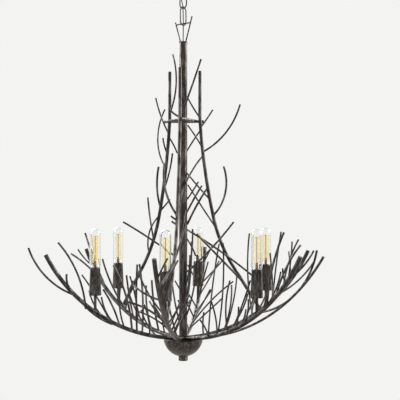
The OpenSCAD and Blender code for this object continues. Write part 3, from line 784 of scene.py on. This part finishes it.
@dataclass
class CeilingFitting:
    """Canopy with a rolled rim, its collar and loop, and the hardware above them."""

    rim_radius: float = 63.5 * MM
    depth: float = 24 * MM
    land_radius: float = 16 * MM
    wall: float = 1.2 * MM
    rim_land: float = 3.5 * MM
    rim_round_mm: Profile = ((-0.4, 0.0), (-0.1, -0.16))
    hole_radius: float = 5.15 * MM

    def build(self) -> None:
        """Turns the canopy and dresses the rest."""
        outer = ball_profile(self.rim_radius, self.land_radius, self.depth, 0.0)
        inner_edge = self.rim_radius - self.rim_land
        shell = ball_profile(self.rim_radius, self.land_radius, self.depth, self.wall)
        inner = [(r, z) for r, z in shell if r < inner_edge]
        rim = [(outer[0][0] + out * MM, up * MM) for out, up in self.rim_round_mm]
        hole = [(self.hole_radius, -self.depth), (self.hole_radius, self.wall - self.depth)]
        profile = [*rim, *outer[1:], *hole, *reversed(inner), (inner_edge, inner[0][1]), (inner_edge, 0.0)]
        canopy = turned("canopy_shell", profile, sides=96, smooth_deg=30)
        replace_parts(dress(canopy, WORN_IRON, Body.CEILING), "canopy")
        dress_nodes(["screw_collar", "canopy_loop"], DARK_IRON)
        dress_nodes(["mounting_strap", "canopy_nipple", "strap_locknut"], ZINC)
        log.info("ceiling fitting: canopy %.0f mm across", 2 * self.rim_radius / MM)


@dataclass
class Chain:
    """Three steel links with the flash of their butt welds."""

    wire_radius: float = 1.6 * MM
    seam_bead: float = 0.25 * MM
    seam_segments: int = 14
    seam_turn_deg: float = 180.0

    def build(self) -> None:
        """Dresses the links and adds a weld seam to one side of each."""
        bodies = (Body.TOP_LINK, Body.MIDDLE_LINK, Body.BOTTOM_LINK)
        for number, body in enumerate(bodies):
            node = f"chain_link_{body.value.split('_')[0]}"
            dress_nodes([node], DARK_IRON)
            low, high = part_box(node)
            centre = (low + high) / 2
            side = high - centre
            out = Vector((1, 0, 0)) if side.x > side.y else Vector((0, 1, 0))
            seam = weld_ring(self.wire_radius, self.seam_bead, number, self.seam_segments)
            seam.rotation_euler.z = math.radians(self.seam_turn_deg)
            seam.location = centre + out * (max(side.x, side.y) - self.wire_radius)
            dress(named(f"link_seam_{number + 1}"), DARK_IRON, body)
            log.info("%s: seam at %.1f mm", node, centre.z / MM)


@dataclass
class Welds:
    """Uneven beads of weld where one rod stands on another.

    A rod stands where least_points of its mesh or more are within contact of the carrier. It leaves its foot
    towards the points_along nearest points that are clear_of_foot away. A bead's section is a share of the
    rod's radius, and under a slanted rod a bead is stretched up to longest times.
    """

    kinds: int = 4
    bead: float = 0.34
    contact: float = 1.2 * MM
    least_points: int = 6
    clear_of_foot: float = 5 * MM
    points_along: int = 8
    longest: float = 2.2
    least_tilt: float = 0.05
    laid: int = 0

    def kind(self, seed: int) -> bpy.types.Mesh:
        """Gives one of the bead forms, a ring of radius 1, modelled at its first use."""
        name = f"bead_kind_{seed}"
        found = bpy.data.meshes.get(name)
        if found:
            return found
        piece = weld_ring(1.0, self.bead, seed)
        mesh = piece.data
        mesh.name = name
        mesh.use_fake_user = True
        bpy.data.objects.remove(piece)
        return mesh

    def root(self, part: Sequence[Vector], surface: BVHTree, thick: float) -> Matrix | None:
        """Finds where a rod stands on a surface.

        Args:
            part: points of the rod.
            surface: faces of what carries it.
            thick: radius of the rod, or of the thickest of them.

        Returns:
            Place, turn and size of its bead, or nothing where the rod stands clear.
        """
        foot = [p for p in part if surface.find_nearest(p)[3] < self.contact]
        if len(foot) < self.least_points:
            return None
        centre = sum(foot, Vector()) / len(foot)
        away = [p for p in part if (p - centre).length > self.clear_of_foot]
        rest = sorted(away, key=lambda p: (p - centre).length)[:self.points_along]
        place, outward, _, _ = surface.find_nearest(centre)
        along = (sum(rest, Vector()) / len(rest) - centre).normalized()
        across = sorted(((p - centre) - along * (p - centre).dot(along)).length for p in foot)
        radius = min(across[len(foot) // 2], thick)
        flat = along - outward * along.dot(outward)
        if flat.length < self.least_tilt:
            flat = outward.orthogonal()
        slant = min(self.longest, 1 / max(abs(along.dot(outward)), self.least_tilt))
        flat.normalize()
        axes = Matrix((flat, outward.cross(flat), outward)).transposed().to_4x4()
        size = Matrix.Diagonal((radius * slant, radius, radius, 1.0))
        return Matrix.Translation(place) @ axes @ size

    def lay(self, node: str, carriers: Sequence[str], thick: float) -> None:
        """Lays a bead round each rod of a node where it stands on its carriers.

        Args:
            node: node of the rods.
            carriers: nodes that carry them.
            thick: radius of the rods.
        """
        points: list[Vector] = []
        faces: list[tuple[int, ...]] = []
        for name in carriers:
            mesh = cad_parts[name].data
            faces += [tuple(v + len(points) for v in face.vertices) for face in mesh.polygons]
            points += [v.co.copy() for v in mesh.vertices]
        surface = BVHTree.FromPolygons(points, faces)
        beads = []
        for part in islands(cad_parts[node].data):
            place = self.root(part, surface, thick)
            if place is None:
                continue
            self.laid += 1
            mesh = self.kind(self.laid % self.kinds).copy()
            mesh.transform(place)
            bead = bpy.data.objects.new("bead", mesh)
            bpy.context.scene.collection.objects.link(bead)
            beads.append(bead)
        if beads:
            dress(joined(f"{node}_welds_{carriers[0]}", beads), DARK_IRON, Body.FIXTURE)


@dataclass
class Frame:
    """Crown, stem, hanger rods, braces and arms with their welds."""

    twig_radius: float = 2.6 * MM
    rod_radius: float = 4 * MM
    post_radius: float = 3.2 * MM

    def build(self) -> None:
        """Dresses the rods and lays the welds."""
        dress_nodes(["crown_rods", "crown_bar", "stem", "stem_twigs"], DARK_IRON)
        dress_nodes(["stem_cap"], WORN_IRON)
        for stem in ("hanger_rod", "brace_bar", "hanger_twigs"):
            dress_nodes(numbered(stem, HANGER_COUNT), DARK_IRON)
        for stem in ("arm", "arm_twigs"):
            dress_nodes(numbered(stem, ARM_COUNT), DARK_IRON)
        welds = Welds()
        arms = numbered("arm", ARM_COUNT)
        for arm, twigs in zip(arms, numbered("arm_twigs", ARM_COUNT)):
            welds.lay(twigs, [arm], self.twig_radius)
        for k in range(1, HANGER_COUNT + 1):
            welds.lay(f"hanger_twigs_{k}", [f"hanger_rod_{k}"], self.twig_radius)
            welds.lay(f"hanger_rod_{k}", arms, self.rod_radius)
            welds.lay(f"brace_bar_{k}", ["stem"], self.rod_radius)
            welds.lay(f"brace_bar_{k}", [f"hanger_rod_{k}"], self.rod_radius)
        welds.lay("stem_twigs", ["stem"], self.twig_radius)
        welds.lay("candle_posts", arms, self.post_radius)
        log.info("frame: %d welds", welds.laid)


@dataclass
class Hub:
    """Plate, bowl and finial under the arms, with what the bowl hides."""

    land_radius: float = 12 * MM
    wall: float = 1.2 * MM
    hole_radius: float = 5.2 * MM
    lip_mm: Profile = ((-1.2, 0.0), (-0.2, 0.0), (0.315, -0.25), (0.45, -0.9), (0.27, -1.6), (-0.35, -2.2))
    lip_gap: float = 0.2 * MM
    edge: float = 1.5 * MM
    edge_bulge: float = 0.3
    top_edge: float = 0.3 * MM
    groove: float = 0.4 * MM
    groove_share: float = 0.55
    bore_depth: float = 8 * MM

    def bowl(self) -> bpy.types.Object:
        """Turns the spun bowl; its rolled lip is given in millimetres from the rim."""
        low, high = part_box("hub_bowl")
        rim, depth = (high.x - low.x) / 2, high.z - low.z
        outer = ball_profile(rim, self.land_radius, depth, 0.0)
        inner = ball_profile(rim, self.land_radius, depth, self.wall)
        lip = [(rim + out * MM, up * MM) for out, up in self.lip_mm]
        foot = [(self.hole_radius, -depth), (self.hole_radius, self.wall - depth)]
        inside = [point for point in reversed(inner) if point[0] < rim - self.wall - self.lip_gap]
        profile = [*lip, *outer[2:], *foot, *inside]
        return turned("bowl_shell", profile, Vector((0, 0, high.z)), sides=96, smooth_deg=40)

    def finial(self) -> bpy.types.Object:
        """Turns the finial with a fine groove and a closed bore."""
        low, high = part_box("finial")
        radius, height = (high.x - low.x) / 2, high.z - low.z
        mid, bulge = height * self.groove_share, self.edge * self.edge_bulge
        foot = [(POLE, 0.0), (radius - self.edge, 0.0), (radius - bulge, bulge), (radius, self.edge)]
        groove = [(radius, mid), (radius - self.groove, mid + self.groove), (radius, mid + 2 * self.groove)]
        top = [(radius, height - self.top_edge), (radius - self.top_edge, height)]
        bore = [(self.hole_radius, height), (self.hole_radius, height - self.bore_depth),
                (POLE, height - self.bore_depth)]
        profile = [*foot, *groove, *top, *bore]
        return turned("finial_turned", profile, Vector((0, 0, low.z)), closed=False, smooth_deg=50)

    def build(self) -> None:
        """Turns the bowl and the finial and dresses the rest."""
        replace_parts(dress(self.bowl(), WORN_IRON, Body.FIXTURE), "hub_bowl")
        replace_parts(dress(self.finial(), WORN_IRON, Body.FIXTURE), "finial")
        dress_nodes(["hub_plate"], DARK_IRON)
        dress_nodes(["hub_nipple", "hub_locknut"], ZINC)
        dress_nodes(["wire_splices"], SPLICE)


@dataclass
class Candles:
    """Posts, sleeves, sockets and lamps of the six candles."""

    cup_wall: float = 1 * MM
    cup_floor: float = 1.5 * MM
    cup_taper: float = 2.5 * MM
    cup_foot_mm: Profile = ((-0.9, 0.0), (-0.25, 0.3), (0.0, 1.0), (-0.1, 3.0))
    cup_lip_mm: Profile = ((0.05, -1.8), (0.3, -1.2), (0.3, -0.5), (0.0, 0.0), (-0.7, 0.0), (-1.0, -0.6))
    post_hole: float = 3.25 * MM
    glass_radius: float = 12.7 * MM
    glass_wall: float = 0.8 * MM
    neck_radius: float = 8 * MM
    neck_round: float = 1 * MM
    shoulder_rise: float = 8 * MM
    shoulder_steps: int = 7
    dome_steps: int = 12
    strands: int = 6
    strand_radius: float = 0.65 * MM
    first_turn_deg: float = 40.0
    cage_radius: float = 5.7 * MM
    cage_inset: float = 1 * MM
    hairpin_radius: float = 0.35 * MM
    hairpin_steps: int = 6

    def place(self, node: str) -> tuple[Vector, Vector]:
        """Gives the foot of the first candle's axis at a node's lowest height, and its size."""
        low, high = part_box(node)
        cup_low, cup_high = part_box("candle_cup_1")
        return Vector(((cup_low.x + cup_high.x) / 2, 0, low.z)), high - low

    def cups(self) -> None:
        """Turns the tapered sleeves; foot and lip are given from the sleeve's lower and upper edge."""
        foot, size = self.place("candle_cup_1")
        wide, tall = size.x / 2, size.z
        slim = wide - self.cup_taper
        foot_line = [(wide + out * MM, up * MM) for out, up in self.cup_foot_mm]
        lip_line = [(slim + out * MM, tall + up * MM) for out, up in self.cup_lip_mm]
        profile = [(self.post_hole, 0.0), *foot_line, *lip_line, (wide - self.cup_wall, self.cup_floor),
                   (self.post_hole, self.cup_floor)]
        cup = turned("cup_shell_1", profile, foot, sides=48, smooth_deg=40)
        for k, piece in enumerate(around(cup, numbered("cup_shell", ARM_COUNT)), 1):
            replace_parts(dress(piece, WORN_IRON, Body.FIXTURE), f"candle_cup_{k}")

    def glasses(self) -> None:
        """Turns the tubular glasses with a pinched neck and gives them their wall."""
        foot, size = self.place("lamp_glasses")
        radius = self.glass_radius
        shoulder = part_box("candle_cup_1")[1].z + self.shoulder_rise - foot.z
        dome = size.z - radius
        pinch = math.acos(self.neck_radius / radius)
        below = [(radius * math.cos(a), shoulder - radius * math.sin(a)) for a in
                 (pinch * (1 - i / self.shoulder_steps) for i in range(self.shoulder_steps))]
        above = [(radius * math.cos(a), dome + radius * math.sin(a)) for a in
                 (math.pi / 2 * i / self.dome_steps for i in range(self.dome_steps))]
        neck = [(POLE, 0.0), (self.neck_radius - self.neck_round, 0.0), (self.neck_radius, self.neck_round)]
        profile = [*neck, *below, (radius, shoulder), *above, (POLE, size.z)]
        glass = turned("lamp_bulb_1", profile, foot, sides=48, closed=False, smooth_deg=60)
        bpy.context.view_layer.objects.active = glass
        apply_modifier(glass, "SOLIDIFY", thickness=self.glass_wall, offset=-1.0)
        for piece in around(glass, numbered("lamp_bulb", ARM_COUNT)):
            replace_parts(dress(piece, GLASS, Body.FIXTURE), "lamp_glasses")

    def filaments(self) -> None:
        """Runs the filament up and down round its cage, thick strands with thin hairpin bends."""
        foot, size = self.place("lamp_filaments")
        low, high = foot.z + self.cage_inset, foot.z + size.z - self.cage_inset
        step = math.tau / self.strands
        pieces = []
        for i in range(self.strands):
            turn = i * step + math.radians(self.first_turn_deg)
            out = Vector((math.cos(turn), math.sin(turn), 0)) * self.cage_radius
            ends = [Vector((foot.x, 0, z)) + out for z in (low, high)]
            middle = ends[0].lerp(ends[1], 0.5)
            pieces.append(wire_mesh("strand", [ends[0], middle, ends[1]], self.strand_radius))
            if i < self.strands - 1:
                z = high if i % 2 == 0 else low
                turns = [turn + step * t / self.hairpin_steps for t in range(self.hairpin_steps + 1)]
                bend = [Vector((foot.x + self.cage_radius * math.cos(a), self.cage_radius * math.sin(a), z))
                        for a in turns]
                pieces.append(wire_mesh("hairpin", bend, self.hairpin_radius, resolution=2))
        cage = joined("filament_cage_1", pieces)
        for piece in around(cage, numbered("filament_cage", ARM_COUNT)):
            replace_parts(dress(piece, FILAMENT, Body.FIXTURE), "lamp_filaments")

    def build(self) -> None:
        """Makes the cups, glasses and filaments and dresses the rest."""
        dress_nodes(["candle_posts"], DARK_IRON)
        dress_nodes(["lamp_sockets"], SOCKET)
        dress_nodes(["lamp_shells"], BRASS)
        dress_nodes(["lamp_mounts"], MOUNT)
        self.cups()
        self.glasses()
        self.filaments()
        log.info("candles: %d cups, glasses and filaments", ARM_COUNT)


@dataclass(frozen=True)
class SoftLight:
    """Square soft light that faces the chandelier.

    Its azimuth is its direction as seen from the axis, as a camera's; its power is in watts.
    """

    name: str
    azimuth_deg: float
    distance: float
    height: float
    power: float
    side: float = 1.2
    aim: tuple[float, float, float] = (0.0, 0.0, -0.6)

    def build(self) -> None:
        """Adds the light."""
        turn = math.radians(self.azimuth_deg)
        data = bpy.data.lights.new(self.name, "AREA")
        data.size = self.side
        data.energy = self.power
        light = bpy.data.objects.new(self.name, data)
        bpy.context.scene.collection.objects.link(light)
        light.location = (math.sin(turn) * self.distance, -math.cos(turn) * self.distance, self.height)
        towards = Vector(self.aim) - light.location
        light.rotation_euler = towards.to_track_quat("-Z", "Y").to_euler()


@dataclass
class Studio:
    """Plain pale floor and background, and soft light."""

    floor_height: float = -3.4
    floor_radius: float = 7.0
    floor_sides: int = 96
    floor_roughness: float = 0.9
    floor_color: Color = (0.9, 0.9, 0.891, 1.0)
    seen_color: Color = (0.9, 0.9, 0.882, 1.0)
    light_color: Color = (1.0, 0.99, 0.97, 1.0)
    light_strength: float = 0.55
    lights: tuple[SoftLight, ...] = (
        SoftLight("key", azimuth_deg=-50.0, distance=2.5, height=0.3, power=44.0),
        SoftLight("fill", azimuth_deg=125.0, distance=2.5, height=0.1, power=32.0),
        SoftLight("rim_left", azimuth_deg=245.0, distance=2.2, height=0.5, power=24.0),
        SoftLight("rim_right", azimuth_deg=165.0, distance=2.2, height=0.4, power=24.0),
    )

    def floor(self) -> None:
        """Adds the floor as a round sheet."""
        deselect()
        bpy.ops.mesh.primitive_circle_add(vertices=self.floor_sides, radius=self.floor_radius,
                                          fill_type="NGON", location=(0, 0, self.floor_height))
        piece = named("floor")
        made = bpy.data.materials.new("pale_floor")
        made.use_nodes = True
        shader = made.node_tree.nodes["Principled BSDF"]
        shader.inputs["Base Color"].default_value = self.floor_color
        shader.inputs["Roughness"].default_value = self.floor_roughness
        piece.data.materials.append(made)

    def world(self) -> None:
        """Lights all round, with the pale background for the camera and in metal and glass."""
        world = bpy.data.worlds.new("studio")
        world.use_nodes = True
        bpy.context.scene.world = world
        bench = NodeBench(world.node_tree)
        seen = bench.add("ShaderNodeBackground")
        seen.inputs["Color"].default_value = self.seen_color
        light = bench.add("ShaderNodeBackground")
        light.inputs["Color"].default_value = self.light_color
        light.inputs["Strength"].default_value = self.light_strength
        rays = bench.add("ShaderNodeLightPath")
        straight = bench.math("MAXIMUM", rays.outputs["Is Camera Ray"], rays.outputs["Is Transmission Ray"])
        either = bench.math("MAXIMUM", straight, rays.outputs["Is Glossy Ray"])
        chosen = bench.add("ShaderNodeMixShader")
        bench.wire(either, chosen.inputs["Fac"])
        bench.wire(light.outputs["Background"], chosen.inputs[1])
        bench.wire(seen.outputs["Background"], chosen.inputs[2])
        bench.wire(chosen.outputs["Shader"], bench.add("ShaderNodeOutputWorld").inputs["Surface"])

    def build(self) -> None:
        """Sets the studio up."""
        bpy.context.scene.view_settings.view_transform = "Standard"
        self.floor()
        self.world()
        for light in self.lights:
            light.build()


def main() -> None:
    """Builds the chandelier's looks in order."""
    logging.basicConfig(level=logging.INFO, format="%(message)s")
    for part in (Camera(), SupplyCord(), CeilingFitting(), Chain(), Frame(), Hub(), Candles(), Studio()):
        part.build()
        log.info("%s ready", type(part).__name__)


if __name__ == "__main__":
    main()
